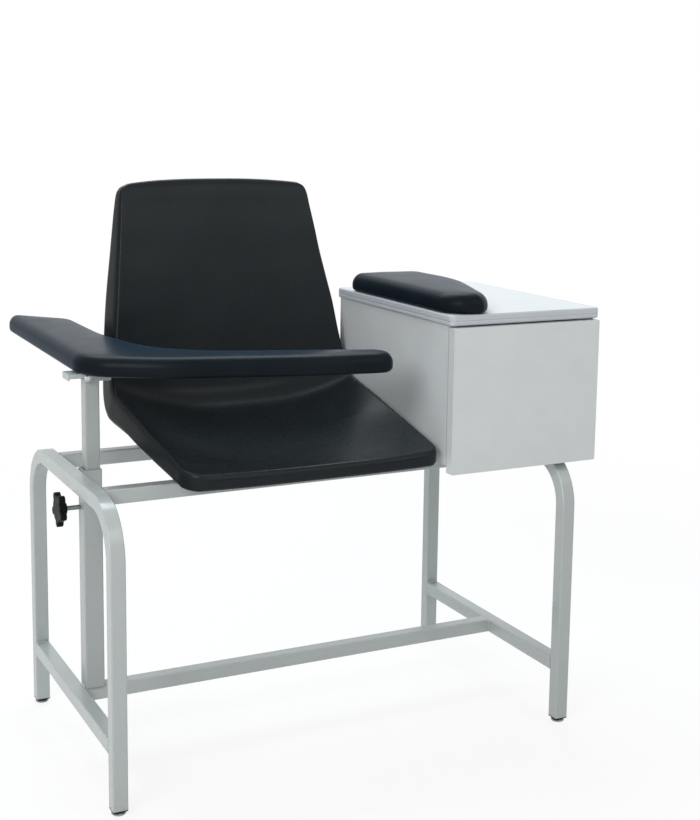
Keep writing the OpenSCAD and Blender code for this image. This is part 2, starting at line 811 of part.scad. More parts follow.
// Screw under a rail's top wall, with its head below the washer
module rail_bolt(length) {
    translate([0, 0, -bolt_washer_t]) {
        cylinder(d = bolt_d, h = length + bolt_washer_t);
        translate([0, 0, -bolt_head_h])
            cylinder(d1 = bolt_head_d * 0.8, d2 = bolt_head_d, h = bolt_head_h);
    }
}

module rail_washer() {
    translate([0, 0, -bolt_washer_t])
        difference() {
            cylinder(d = bolt_washer_d, h = bolt_washer_t);
            translate([0, 0, -over])
                cylinder(d = bolt_d + bolt_play, h = bolt_washer_t + 2 * over);
        }
}

module seat_bolts() {
    color(zinc)
        at_seat_bolts(frame_h - tube_wall)
            rail_bolt(tube_wall + seat_gap + insert_h * 0.7);
}

module seat_washers() {
    color(zinc)
        at_seat_bolts(frame_h - tube_wall)
            rail_washer();
}

// Cabinet
module side_panel(x) {
    color(laminate)
        translate([x, cab_front_y, cab_z])
            difference() {
                cube([panel_t, cab_d, top_z - cab_z]);
                dowel_holes(x < cab_x + panel_t);
            }
}

// Blind holes in a side panel's inner face for the bottom's and back's dowels
module dowel_holes(left) {
    face_x = left ? panel_t : 0;
    for (share = dowel_inset_shares)
        translate([face_x, share * (cab_d - panel_t), panel_t / 2])
            rotate([0, 90, 0])
                cylinder(d = dowel_d, h = dowel_l, center = true);
}

module cabinet_left_side() {
    side_panel(cab_x);
}

module cabinet_right_side() {
    color(laminate)
        difference() {
            side_panel(cab_right - panel_t);
            leaf_holes(cab_front_y - over, -1);
        }
}

// Pilot holes for the leaf screws, from y on: side -1 drills backwards, side 1 forwards
module leaf_holes(y, side) {
    for (z = hinge_zs, share = leaf_screw_share_z)
        translate([cab_right - leaf_w / 2, y, z + share * hinge_h])
            rotate([side * 90, 0, 0])
                cylinder(d = leaf_screw_d, h = leaf_screw_l + over);
}

module at_cab_bolts(z) {
    for (x = cab_bolt_xs(), y = rail_ys)
        translate([x, y, z])
            children();
}

module cabinet_bottom() {
    hole_l = dowel_l / 2;
    color(laminate)
        difference() {
            translate([cab_x + panel_t, cab_front_y, cab_z])
                cube([inside_w, cab_d, panel_t]);
            for (share = dowel_inset_shares, x = [cab_x + panel_t, cab_right - panel_t])
                translate([x, cab_front_y + share * (cab_d - panel_t), cab_z + panel_t / 2])
                    rotate([0, 90, 0])
                        cylinder(d = dowel_d, h = 2 * hole_l, center = true);
            at_cab_bolts(cab_z - over)
                cylinder(d = bolt_d, h = over + panel_t * 0.75);
        }
}

module cabinet_back() {
    color(laminate)
        translate([cab_x + panel_t, cab_back_y - panel_t, cab_z + panel_t])
            cube([inside_w, panel_t, top_z - cab_z - panel_t]);
}

module cabinet_dowels() {
    color(plywood)
        for (share = dowel_inset_shares, x = [cab_x + panel_t, cab_right - panel_t])
            translate([x, cab_front_y + share * (cab_d - panel_t), cab_z + panel_t / 2])
                rotate([0, 90, 0])
                    cylinder(d = dowel_d, h = dowel_l * 0.94, center = true);
}

module cabinet_screws() {
    color(zinc)
        at_cab_bolts(frame_h - tube_wall)
            rail_bolt(rail_bolt_l);
}

module cabinet_washers() {
    color(zinc)
        at_cab_bolts(frame_h - tube_wall)
            rail_washer();
}

top_w = cab_w + 2 * top_overhang;
top_d = top_back_y - top_front_y;
cab_pad_screw_shares = [0.3, 0.72];
function pad_screw_ys() = [for (share = cab_pad_screw_shares) pad_front + share * cab_pad_l];
pad_screw_x = pad_left + cab_pad_w * 0.42;

module cabinet_top() {
    color(laminate)
        difference() {
            translate([cab_x - top_overhang + edge_w, top_front_y + edge_w, top_z])
                linear_extrude(top_t)
                    rounded_rectangle(top_w - 2 * edge_w, top_d - 2 * edge_w, top_corner - edge_w);
            for (y = pad_screw_ys())
                translate([pad_screw_x, y, top_z - over])
                    cylinder(d = arm_screw_d + bolt_play, h = top_t + 2 * over);
        }
}

// Moulding's profile: the inner face at x = 0, rounded on the outside
module edge_profile() {
    square([edge_w - edge_r, top_t]);
    translate([0, edge_r])
        square([edge_w, top_t - 2 * edge_r]);
    for (y = [edge_r, top_t - edge_r])
        translate([edge_w - edge_r, y])
            circle(edge_r);
}

// Moulding round the top: four straight runs and four quarter turns
module cabinet_top_edge() {
    r_in = top_corner - edge_w;
    run_x = top_w - 2 * top_corner;
    run_y = top_d - 2 * top_corner;
    corner_x = top_w / 2 - top_corner;
    corner_y = top_d / 2 - top_corner;
    color(laminate)
        translate([cab_x - top_overhang + top_w / 2, top_front_y + top_d / 2, top_z])
            for (turn_i = [0 : 3]) {
                along = turn_i % 2 == 0 ? run_y : run_x;
                px = turn_i % 2 == 0 ? corner_x : corner_y;
                py = turn_i % 2 == 0 ? corner_y : corner_x;
                rotate(90 * turn_i) {
                    translate([px + r_in, along / 2, 0])
                        rotate([90, 0, 0])
                            linear_extrude(along)
                                edge_profile();
                    translate([px, py, 0])
                        rotate_extrude(angle = 90)
                            translate([r_in, 0])
                                edge_profile();
                }
            }
}

// Cabinet pad outline in place
function pad_point(share) = [pad_left + share.x * cab_pad_w, pad_front + share.y * cab_pad_l];
function pad_chain(shares) = chain(pad_point(pad_tip_share),
    [for (s = shares) [pad_point(s).x, pad_point(s).y, s[2] * cab_pad_w]],
    pad_point(pad_end_share), arc_steps);
cab_pad_outer = even_points(pad_chain(pad_left_shares), pad_steps);
cab_pad_inner = even_points(pad_chain(pad_right_shares), pad_steps);

module cabinet_arm_pad() {
    color(black)
        pad_body(cab_pad_outer, cab_pad_inner, cab_pad_t, pad_z);
}

module cabinet_pad_core() {
    color(plywood)
        difference() {
            translate([0, 0, pad_z])
                linear_extrude(core_t)
                    polygon(core_outline(cab_pad_outer, cab_pad_inner));
            for (y = pad_screw_ys())
                translate([pad_screw_x, y, pad_z - over])
                    cylinder(d = arm_screw_d, h = core_t * 0.9 + over);
        }
}

module cabinet_pad_screws() {
    color(zinc)
        for (y = pad_screw_ys())
            translate([pad_screw_x, y, top_z])
                wood_screw(arm_screw_d, top_t + seat_gap + core_t * 0.8, arm_screw_d / 2);
}

hinge_zs = [door_z + hinge_inset, door_z + door_h - hinge_inset - hinge_h];
leaf_screw_share_z = [0.2, 0.8];

// Door with rounded corners, drilled for its leaf screws
module cabinet_door() {
    color(laminate)
        difference() {
            translate([cab_x, door_back_y, door_z])
                rotate([90, 0, 0])
                    linear_extrude(door_t)
                        rounded_rectangle(cab_w, door_h, door_corner);
            leaf_holes(door_back_y + over, 1);
        }
}

// Bumpers in the gap at the door's free edge, on the carcass' front edge
module door_bumpers() {
    color(black)
        for (z = [cab_z + panel_t, top_z - panel_t])
            translate([cab_x + panel_t / 2, cab_front_y, z])
                rotate([90, 0, 0])
                    cylinder(d1 = bumper_d, d2 = bumper_d * 0.8, h = door_gap - seat_gap);
}

// One hinge leaf: a plate with screw holes and its knuckles at the given thirds, bored with the given fit
module hinge_leaf(plate_y, thirds, fit) {
    third = hinge_h / 3;
    gap = seat_gap / 2;
    difference() {
        union() {
            translate([cab_right - leaf_w, plate_y, 0])
                cube([leaf_w, leaf_t, hinge_h]);
            for (i = thirds)
                translate([0, 0, i * third + gap]) {
                    translate([hinge_x, hinge_y, 0])
                        cylinder(r = knuckle_r, h = third - 2 * gap);
                    translate([cab_right - leaf_t, plate_y, 0])
                        cube([hinge_x - cab_right + leaf_t, leaf_t, third - 2 * gap]);
                }
        }
        translate([hinge_x, hinge_y, -over])
            cylinder(d = pin_d + 2 * fit, h = hinge_h + 2 * over);
        for (share = leaf_screw_share_z)
            translate([cab_right - leaf_w / 2, plate_y - over, share * hinge_h])
                rotate([-90, 0, 0])
                    cylinder(d = leaf_screw_d + bolt_play, h = leaf_t + 2 * over);
    }
}

module cabinet_hinge_leaves() {
    color(zinc)
        for (z = hinge_zs)
            translate([0, 0, z])
                hinge_leaf(cab_front_y - leaf_t, [0, 2], 0);
}

module door_hinge_leaves() {
    color(zinc)
        for (z = hinge_zs)
            translate([0, 0, z])
                hinge_leaf(door_back_y, [1], run_fit);
}

module hinge_pins() {
    color(zinc)
        for (z = hinge_zs)
            translate([hinge_x, hinge_y, z])
                cylinder(d = pin_d, h = hinge_h);
}

// Screws whose flat heads fill the leaves' holes
module leaf_screws(plate_y, side) {
    for (z = hinge_zs, share = leaf_screw_share_z)
        translate([cab_right - leaf_w / 2, plate_y, z + share * hinge_h])
            rotate([side * 90, 0, 0])
                cylinder(d = leaf_screw_d, h = leaf_t + leaf_screw_l * 0.9);
}

module cabinet_leaf_screws() {
    color(zinc)
        leaf_screws(cab_front_y - leaf_t, -1);
}

module door_leaf_screws() {
    color(zinc)
        leaf_screws(door_back_y + leaf_t, 1);
}

catch_z = top_z - catch_h - panel_t;

// Magnetic catch on the left side's inner face
module catch_body() {
    color("white")
        translate([cab_x + panel_t, cab_front_y + seat_gap, catch_z])
            cube([catch_d, catch_w, catch_h]);
}

module catch_strike() {
    color(zinc)
        translate([cab_x + panel_t + seat_gap, door_back_y, catch_z])
            cube([catch_d - 2 * seat_gap, strike_t, catch_h]);
}

left_leg_frame();
right_leg_frame();
left_side_rail();
right_side_rail();
center_stretcher();
front_seat_rail();
rear_seat_rail();
glide_inserts();
glide_stems();
glide_feet();
post_socket();
clamp_nut();
clamp_tip();
clamp_stud();
clamp_knob();
knob_insert();
arm_post();
post_saddle();
hinge_bolt();
hinge_nut();
hinge_washers();
arm_channel();
arm_pad_core();
arm_pad();
arm_pad_screws();
seat_shell();
seat_inserts();
seat_bolts();
seat_washers();
cabinet_left_side();
cabinet_right_side();
cabinet_bottom();
cabinet_back();
cabinet_top();
cabinet_top_edge();
cabinet_dowels();
cabinet_screws();
cabinet_washers();
cabinet_arm_pad();
cabinet_pad_core();
cabinet_pad_screws();
cabinet_door();
door_bumpers();
cabinet_hinge_leaves();
door_hinge_leaves();
hinge_pins();
cabinet_leaf_screws();
door_leaf_screws();
catch_body();
catch_strike();
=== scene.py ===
import json
import math

import bmesh
import bpy
import numpy as np
from mathutils import Matrix, Vector
from mathutils.geometry import delaunay_2d_cdt


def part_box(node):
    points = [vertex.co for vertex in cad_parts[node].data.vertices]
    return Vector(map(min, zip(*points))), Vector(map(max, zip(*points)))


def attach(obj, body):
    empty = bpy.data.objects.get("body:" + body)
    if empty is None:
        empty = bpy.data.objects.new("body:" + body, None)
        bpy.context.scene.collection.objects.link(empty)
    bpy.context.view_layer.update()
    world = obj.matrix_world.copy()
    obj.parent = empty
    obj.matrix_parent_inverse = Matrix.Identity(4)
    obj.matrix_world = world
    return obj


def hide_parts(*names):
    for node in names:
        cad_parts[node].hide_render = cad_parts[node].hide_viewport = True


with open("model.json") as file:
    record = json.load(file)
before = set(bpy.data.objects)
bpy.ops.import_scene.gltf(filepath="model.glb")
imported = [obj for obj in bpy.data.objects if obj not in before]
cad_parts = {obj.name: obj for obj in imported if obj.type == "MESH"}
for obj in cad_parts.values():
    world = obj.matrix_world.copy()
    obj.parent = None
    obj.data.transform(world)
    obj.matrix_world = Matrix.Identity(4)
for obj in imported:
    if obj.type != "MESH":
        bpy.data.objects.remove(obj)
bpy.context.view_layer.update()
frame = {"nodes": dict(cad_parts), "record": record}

# Camera: the focal length and the shift are in pixels of a picture that is PICTURE_W wide
PICTURE_W = 700
FOCAL = 1402.84
SHIFT_UP = -80
SENSOR_W = 36.0
VIEW_FAR = 50
CAM_AT = (-1.04755, -2.2921, 1.10111)
YAW, PITCH, ROLL = (math.radians(a) for a in (26.62, 8.43, 0.77))
forward = Vector((math.sin(YAW) * math.cos(PITCH), math.cos(YAW) * math.cos(PITCH),
                  -math.sin(PITCH)))
right = Vector((math.cos(YAW), -math.sin(YAW), 0.0))
up = right.cross(forward)
cam_x = math.cos(ROLL) * right + math.sin(ROLL) * up
cam_y = -math.sin(ROLL) * right + math.cos(ROLL) * up
cam_data = bpy.data.cameras.new("camera")
cam = bpy.data.objects.new("camera", cam_data)
bpy.context.scene.collection.objects.link(cam)
turn = Matrix((cam_x, cam_y, -forward)).transposed().to_4x4()
cam.matrix_world = Matrix.Translation(CAM_AT) @ turn
cam_data.sensor_fit = "HORIZONTAL"
cam_data.sensor_width = SENSOR_W
cam_data.lens = FOCAL / PICTURE_W * SENSOR_W
cam_data.shift_y = SHIFT_UP / PICTURE_W
cam_data.clip_end = VIEW_FAR
bpy.context.scene.camera = cam
bpy.context.scene.view_settings.view_transform = "Standard"


# Materials
# Painted shade on the sides: how far a surface faces left or right where its shine starts to drop, and where
# it has dropped.
SIDE_FROM, SIDE_TO = 0.55, 0.95


class Nodes:
    """Short hand for a material's node tree."""

    def __init__(self, name):
        self.mat = bpy.data.materials.new(name)
        self.mat.use_nodes = True
        self.tree = self.mat.node_tree
        self.tree.nodes.clear()
        self.out = self.add("ShaderNodeOutputMaterial")
        self.bsdf = self.add("ShaderNodeBsdfPrincipled")
        self.link(self.bsdf.outputs[0], self.out.inputs[0])
        self.coord = self.add("ShaderNodeTexCoord").outputs["Object"]

    def add(self, kind, **values):
        node = self.tree.nodes.new(kind)
        for key, value in values.items():
            setattr(node, key, value)
        return node

    def link(self, a, b):
        self.tree.links.new(a, b)

    def noise(self, scale, detail=2.0, rough=0.5, stretch=None):
        """Noise over the piece's own coordinates, stretched along an axis where asked."""
        n = self.add("ShaderNodeTexNoise")
        n.inputs["Scale"].default_value = scale
        n.inputs["Detail"].default_value = detail
        n.inputs["Roughness"].default_value = rough
        src = self.coord
        if stretch:
            m = self.add("ShaderNodeMapping")
            m.inputs["Scale"].default_value = stretch
            self.link(src, m.inputs["Vector"])
            src = m.outputs[0]
        self.link(src, n.inputs["Vector"])
        return n.outputs["Fac"]

    def ramp(self, fac, low, high, a, b):
        """fac from low to high, turned into a to b."""
        r = self.add("ShaderNodeMapRange")
        for key, value in zip(("From Min", "From Max", "To Min", "To Max"), (low, high, a, b)):
            r.inputs[key].default_value = value
        self.link(fac, r.inputs["Value"])
        return r.outputs[0]

    def tint(self, fac, a, b):
        """Base colour between a and b."""
        m = self.add("ShaderNodeMix", data_type="RGBA")
        m.inputs["A"].default_value = (*a, 1)
        m.inputs["B"].default_value = (*b, 1)
        self.link(fac, m.inputs["Factor"])
        self.link(m.outputs["Result"], self.bsdf.inputs["Base Color"])

    def bump(self, height, strength, distance):
        """Relief from a height, given back so that another can lie under it."""
        b = self.add("ShaderNodeBump")
        b.inputs["Strength"].default_value = strength
        b.inputs["Distance"].default_value = distance
        self.link(height, b.inputs["Height"])
        self.link(b.outputs[0], self.bsdf.inputs["Normal"])
        return b

    def painted_side_shade(self, face, side):
        """Painted shade on the sides: specular level that drops where the surface turns to the piece's left
        or right.
        """
        normal = self.add("ShaderNodeTexCoord").outputs["Normal"]
        parts = self.add("ShaderNodeSeparateXYZ")
        self.link(normal, parts.inputs[0])
        size = self.add("ShaderNodeMath", operation="ABSOLUTE")
        self.link(parts.outputs["X"], size.inputs[0])
        level = self.ramp(size.outputs[0], SIDE_FROM, SIDE_TO, face, side)
        self.link(level, self.bsdf.inputs["Specular IOR Level"])

    def set(self, **values):
        """Plain values of the shader's inputs."""
        for key, value in values.items():
            self.bsdf.inputs[key.replace("_", " ")].default_value = value


def powder_coat(name, light, dark):
    """Satin powder coat with a faint mottle."""
    n = Nodes(name)
    n.tint(n.ramp(n.noise(6.0, 3), 0.35, 0.65, 0, 1), light, dark)
    n.link(n.ramp(n.noise(40.0, 2), 0.3, 0.7, 0.2, 0.27), n.bsdf.inputs["Roughness"])
    n.bump(n.noise(700.0, 2), 0.05, 0.0002)
    n.set(Specular_IOR_Level=0.75)
    return n.mat


def laminate(name, light, dark):
    """Plain matt laminate of the cabinet's boards."""
    n = Nodes(name)
    n.tint(n.ramp(n.noise(14.0, 4), 0.35, 0.65, 0, 1), light, dark)
    n.link(n.ramp(n.noise(60.0, 2), 0.3, 0.7, 0.3, 0.33), n.bsdf.inputs["Roughness"])
    n.bump(n.noise(900.0, 3, 0.6), 0.03, 0.0002)
    n.set(Specular_IOR_Level=0.5)
    return n.mat


# The moulding's line: its height as a share of the moulding's, half its width, its depth and strength.
LINE_SHARE, LINE_HALF_W, LINE_DEPTH, LINE_STRENGTH = 0.42, 0.0016, 0.0012, 0.7


def moulding(name, light, dark):
    """Edge moulding with a shallow line that runs along its middle."""
    n = Nodes(name)
    n.tint(n.ramp(n.noise(14.0, 4), 0.35, 0.65, 0, 1), light, dark)
    n.link(n.ramp(n.noise(60.0, 2), 0.3, 0.7, 0.3, 0.36), n.bsdf.inputs["Roughness"])
    low, high = (corner[2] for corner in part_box("cabinet_top_edge"))
    parts = n.add("ShaderNodeSeparateXYZ")
    n.link(n.coord, parts.inputs[0])
    off = n.add("ShaderNodeMath", operation="SUBTRACT")
    n.link(parts.outputs["Z"], off.inputs[0])
    off.inputs[1].default_value = low + LINE_SHARE * (high - low)
    away = n.add("ShaderNodeMath", operation="ABSOLUTE")
    n.link(off.outputs[0], away.inputs[0])
    n.bump(n.ramp(away.outputs[0], 0.0, LINE_HALF_W, 0, 1), LINE_STRENGTH, LINE_DEPTH)
    n.set(Specular_IOR_Level=0.5)
    return n.mat


GRAIN_SCALE, GRAIN_DEPTH = 420.0, 0.0004
WAVE_SCALE, WAVE_DEPTH = 16.0, 0.002
# Tint of the foam's sheen: a painted bluish reflection.
PAINTED_BLUE_SHEEN_TINT = (0.15, 0.5, 1.0, 1)


def skin_foam(name, light, dark, gloss, shine, side_shine, haze, grain):
    """Self-skinned foam: smooth black with a fine leather-like grain, painted shade on its sides as less
    shine there, and a sheen whose blue tint is a painted bluish reflection.
    """
    n = Nodes(name)
    n.tint(n.ramp(n.noise(9.0, 3), 0.35, 0.65, 0, 1), light, dark)
    n.link(n.ramp(n.noise(25.0, 3), 0.3, 0.7, gloss, gloss + 0.04), n.bsdf.inputs["Roughness"])
    cells = n.add("ShaderNodeTexVoronoi", feature="SMOOTH_F1")
    cells.inputs["Scale"].default_value = GRAIN_SCALE
    n.link(n.coord, cells.inputs["Vector"])
    first = n.bump(cells.outputs["Distance"], grain, GRAIN_DEPTH)
    second = n.add("ShaderNodeBump")
    second.inputs["Strength"].default_value = grain / 2
    second.inputs["Distance"].default_value = WAVE_DEPTH
    n.link(n.noise(WAVE_SCALE, 2), second.inputs["Height"])
    n.link(second.outputs[0], first.inputs["Normal"])
    # Less shine where the foam faces left or right: painted shade.
    n.painted_side_shade(shine, side_shine)
    # Blue-tinted sheen: painted bluish reflection.
    n.set(Sheen_Weight=haze, Sheen_Roughness=0.35, Sheen_Tint=PAINTED_BLUE_SHEEN_TINT)
    return n.mat


# SIDE_SHINE is the share of a plastic's shine kept on its sides: painted shade.
METAL_SHADE, PLASTIC_SHADE, SIDE_SHINE = 0.86, 0.8, 0.25
ALONG, EVEN = (1, 1, 12), (1, 1, 1)


def metal(name, color, rough_a, rough_b, grain=ALONG):
    """Plated or bare metal with streaks that follow the grain."""
    n = Nodes(name)
    shade = tuple(c * METAL_SHADE for c in color)
    n.tint(n.ramp(n.noise(30.0, 3), 0.3, 0.7, 0, 1), color, shade)
    streaks = n.noise(160.0, 3, 0.5, grain)
    n.link(n.ramp(streaks, 0.3, 0.7, rough_a, rough_b), n.bsdf.inputs["Roughness"])
    n.bump(n.noise(500.0, 2, 0.5, grain), 0.05, 0.0002)
    n.set(Metallic=1.0)
    return n.mat


def plastic(name, color, rough, shine=0.5):
    """Moulded plastic or rubber, with painted shade on its sides as less shine there."""
    n = Nodes(name)
    shade = tuple(c * PLASTIC_SHADE for c in color)
    n.tint(n.ramp(n.noise(50.0, 2), 0.3, 0.7, 0, 1), color, shade)
    haze = n.noise(90.0, 2)
    n.link(n.ramp(haze, 0.3, 0.7, rough - 0.05, rough + 0.06), n.bsdf.inputs["Roughness"])
    n.bump(n.noise(1100.0, 2), 0.12, 0.0003)
    # Less shine on the sides: painted shade.
    n.painted_side_shade(shine, shine * SIDE_SHINE)
    return n.mat


def ply(name):
    """Plywood with its fibres along the height."""
    n = Nodes(name)
    fac = n.noise(60.0, 4, 0.6, (1, 1, 9))
    n.tint(n.ramp(fac, 0.35, 0.65, 0, 1), (0.44, 0.31, 0.18), (0.37, 0.255, 0.145))
    n.bump(fac, 0.2, 0.0004)
    n.set(Roughness=0.7)
    return n.mat


PAINT = powder_coat("powder_coat_grey", (0.392, 0.427, 0.419), (0.376, 0.411, 0.403))
EDGING = moulding("edge_moulding_grey", (0.47, 0.495, 0.53), (0.45, 0.475, 0.51))
BOARD = laminate("laminate_grey", (0.575, 0.6, 0.605), (0.555, 0.58, 0.586))
# The armrest foam's sheen weight (0.08) carries the painted bluish reflection; the shell's is 0.
SKIN = skin_foam("self_skin_black", (0.0055, 0.0085, 0.0110), (0.0075, 0.0110, 0.0140), 0.3,
                 0.045, 0.015, 0.08, 0.05)
SKIN_SHELL = skin_foam("self_skin_black_smooth", (0.0115, 0.0150, 0.0168), (0.0135, 0.0175, 0.0195), 0.26,
                       0.1, 0.012, 0.0, 0.006)
ZINC = metal("zinc_plate", (0.62, 0.63, 0.64), 0.28, 0.42)
NICKEL = metal("nickel_plate", (0.72, 0.72, 0.70), 0.12, 0.22, EVEN)
BRASS = metal("bare_brass", (0.62, 0.45, 0.17), 0.25, 0.38)
BLACK = plastic("black_plastic", (0.006, 0.008, 0.008), 0.3, 0.07)
STUD = metal("dull_zinc", (0.22, 0.27, 0.27), 0.35, 0.45)
FOOT = metal("glide_plate", (0.36, 0.4, 0.385), 0.45, 0.55, EVEN)
# Darker copy of the frame's powder coat: painted shade on the arm post, its socket and its saddle.
POST_PAINTED_SHADE = powder_coat("powder_coat_grey_painted_shade", (0.335, 0.369, 0.36), (0.32, 0.354, 0.345))
RUBBER = plastic("black_rubber", (0.02, 0.02, 0.02), 0.6)
WHITE = plastic("white_plastic", (0.75, 0.75, 0.73), 0.4)
PLY = ply("plywood")

BY_SLOT = {
    "frame_paint": PAINT, "zinc": ZINC, "nickel": NICKEL, "black_plastic": BLACK,
    "white_plastic": WHITE, "rubber": RUBBER, "skin": SKIN, "laminate": BOARD, "ply": PLY, "brass": BRASS,
}
BY_NODE = {
    "cabinet_top_edge": EDGING, "clamp_stud": STUD, "glide_feet": FOOT,
    "arm_post": POST_PAINTED_SHADE, "post_socket": POST_PAINTED_SHADE, "post_saddle": POST_PAINTED_SHADE,
}
slot_of = {s["node"]: s["material_slot"] for s in frame["record"]["subparts"]}
for node, obj in frame["nodes"].items():
    for slot in obj.material_slots:
        slot.material = BY_NODE.get(node, BY_SLOT[slot_of[node]])


# Mesh helpers
def link(mesh, name, material, body):
    """The mesh as a smooth object of the scene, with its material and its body."""
    obj = bpy.data.objects.new(name, mesh)
    bpy.context.scene.collection.objects.link(obj)
    mesh.materials.clear()
    mesh.materials.append(material)
    mesh.shade_smooth()
    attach(obj, body)
    return obj


def solid_mesh(name, verts, faces):
    """Mesh with all its faces turned outwards."""
    mesh = bpy.data.meshes.new(name)
    mesh.from_pydata(verts, [], faces)
    bm = bmesh.new()
    bm.from_mesh(mesh)
    bmesh.ops.recalc_face_normals(bm, faces=bm.faces)
    bm.to_mesh(mesh)
    bm.free()
    return mesh


def rings_mesh(name, rings):
    """Closed skin over rings of equal length, (n, m, 3), with a centre point at each end."""
    n, m, _ = rings.shape
    verts = rings.reshape(-1, 3).tolist()
    faces = []
    for k in range(n - 1):
        for i in range(m):
            j = (i + 1) % m
            faces.append((k * m + i, k * m + j, (k + 1) * m + j, (k + 1) * m + i))
    for k, flip in ((0, True), (n - 1, False)):
        centre = len(verts)
        verts.append(rings[k].mean(0).tolist())
        for i in range(m):
            a, b = k * m + i, k * m + (i + 1) % m
            faces.append((b, a, centre) if flip else (a, b, centre))
    return solid_mesh(name, verts, faces)


def spline(t, values, at):
    """Smooth curve through values at t, sampled at the given places (monotone cubic, no overshoot)."""
    t, v, at = np.asarray(t, float), np.asarray(values, float), np.asarray(at, float)
    h = np.diff(t)
    d = np.diff(v, axis=0) / h[:, None]
    m = np.zeros_like(v)
    for j in range(v.shape[1]):
        for i in range(1, len(t) - 1):
            if d[i - 1, j] * d[i, j] > 0:
                w1, w2 = 2 * h[i] + h[i - 1], h[i] + 2 * h[i - 1]
                m[i, j] = (w1 + w2) / (w1 / d[i - 1, j] + w2 / d[i, j])
        m[0, j], m[-1, j] = d[0, j], d[-1, j]
    k = np.clip(np.searchsorted(t, at, side="right") - 1, 0, len(t) - 2)
    s = ((at - t[k]) / h[k])[:, None]
    hk = h[k][:, None]
    return ((2 * s**3 - 3 * s**2 + 1) * v[k] + (s**3 - 2 * s**2 + s) * hk * m[k]
            + (-2 * s**3 + 3 * s**2) * v[k + 1] + (s**3 - s**2) * hk * m[k + 1])


# Seat shell
SEAT_X, SEAT_W = -0.066, 0.490
SEAT_Y, SEAT_D = -0.236, 0.516
SEAT_Z, SEAT_H = 0.508, 0.485
# Rows from the front edge over the pan and up the back: the inner face at the rim and in the middle, the
# outer face at the rim and in the middle, as shares of the depth and the height, and the share of the width.
RIM_IN = [(0, 0.062), (0.07, 0.0775), (0.1, 0.0845), (0.178, 0.101), (0.275, 0.12),
          (0.38, 0.1405), (0.484, 0.164), (0.581, 0.184), (0.659, 0.2), (0.713, 0.214), (0.742, 0.236),
          (0.762, 0.276), (0.773, 0.33), (0.785, 0.396), (0.806, 0.499), (0.837, 0.602), (0.868, 0.705),
          (0.893, 0.808), (0.915, 0.884), (0.93, 0.941), (0.94, 0.965), (0.951, 0.977)]
MID_IN = [(0, 0.0536), (0.07, 0.0536), (0.1, 0.0536), (0.178, 0.0536), (0.275, 0.0536),
          (0.38, 0.0545), (0.484, 0.057), (0.581, 0.061), (0.672, 0.0695), (0.744, 0.085), (0.806, 0.116),
          (0.846, 0.167), (0.859, 0.244), (0.862, 0.355), (0.873, 0.474), (0.890, 0.592), (0.908, 0.701),
          (0.926, 0.808), (0.941, 0.893), (0.953, 0.96), (0.963, 0.985), (0.971, 0.994)]
RIM_OUT = [(0, 0.005), (0.07, 0.0095), (0.1, 0.0125), (0.178, 0.022), (0.275, 0.034),
           (0.38, 0.048), (0.484, 0.063), (0.581, 0.078), (0.69, 0.086), (0.774, 0.09), (0.841, 0.118),
           (0.886, 0.171), (0.91, 0.256), (0.934, 0.375), (0.957, 0.483), (0.976, 0.588), (0.988, 0.691),
           (0.996, 0.798), (1, 0.876), (0.998, 0.934), (0.989, 0.959), (0.971, 0.973)]
MID_OUT = [(0, 0.0006), (0.07, 0.0006), (0.1, 0.0006), (0.178, 0.0006), (0.275, 0.0006),
           (0.38, 0.0006), (0.484, 0.0006), (0.581, 0.0006), (0.7, 0.0015), (0.777, 0.008), (0.845, 0.037),
           (0.895, 0.099), (0.917, 0.198), (0.922, 0.33), (0.93, 0.468), (0.946, 0.586), (0.965, 0.695),
           (0.979, 0.804), (0.99, 0.889), (1, 0.956), (0.996, 0.982), (0.985, 0.992)]
WIDTH = [0.964, 0.964, 0.964, 0.968, 0.976, 0.984, 0.99, 0.994, 0.996, 0.996, 0.99, 0.977,
         0.961, 0.938, 0.911, 0.88, 0.849, 0.821, 0.8, 0.782, 0.758, 0.713]
# Front edge: radii of its top, its bottom and its corners in plan.
TOP_R, BOTTOM_R, CORNER_R = 0.009, 0.008, 0.038
NOSE = (0.0, 0.0003, 0.0010, 0.0022, 0.0040, 0.0062, 0.0088, 0.0120, 0.0160, 0.0205, 0.0255, 0.0305,
        0.0350, 0.0380)
# Side wall of the shell from the outer face to the inner one: share of the wall, share of the half width.
SIDE = [(0.012, 0.984), (0.045, 0.994), (0.1, 0.999), (0.18, 1.0), (0.4, 1.0), (0.62, 1.0),
        (0.76, 0.999), (0.86, 0.995), (0.93, 0.988), (0.975, 0.979)]
# Rows over the pan and the back, rows of the top edge, and points across a face.
ROWS, LIP_ROWS, COLUMNS = 110, 9, 61
# Where the side wall starts, and how fast the inner and the outer face turn up towards it.
FACE_SHARE, IN_POWER, OUT_POWER = 0.968, 2.6, 3.4


def rounding(radius, y):
    """How far a rounded edge falls short at the distance y from the front."""
    return radius - math.sqrt(radius**2 - (radius - y) ** 2) if y < radius else 0.0


def nose_rows(first, second):
    """Rows of the front edge, rounded at its top, bottom and corners."""
    rows = []
    for y in NOSE:
        row = first + (second - first) * (y / NOSE[-1])
        row[0:8:2] = y / SEAT_D
        row[[1, 3]] -= rounding(TOP_R, y) / SEAT_H
        row[[5, 7]] += rounding(BOTTOM_R, y) / SEAT_H
        row[8] -= rounding(CORNER_R, y) / (SEAT_W / 2)
        rows.append(row)
    return rows


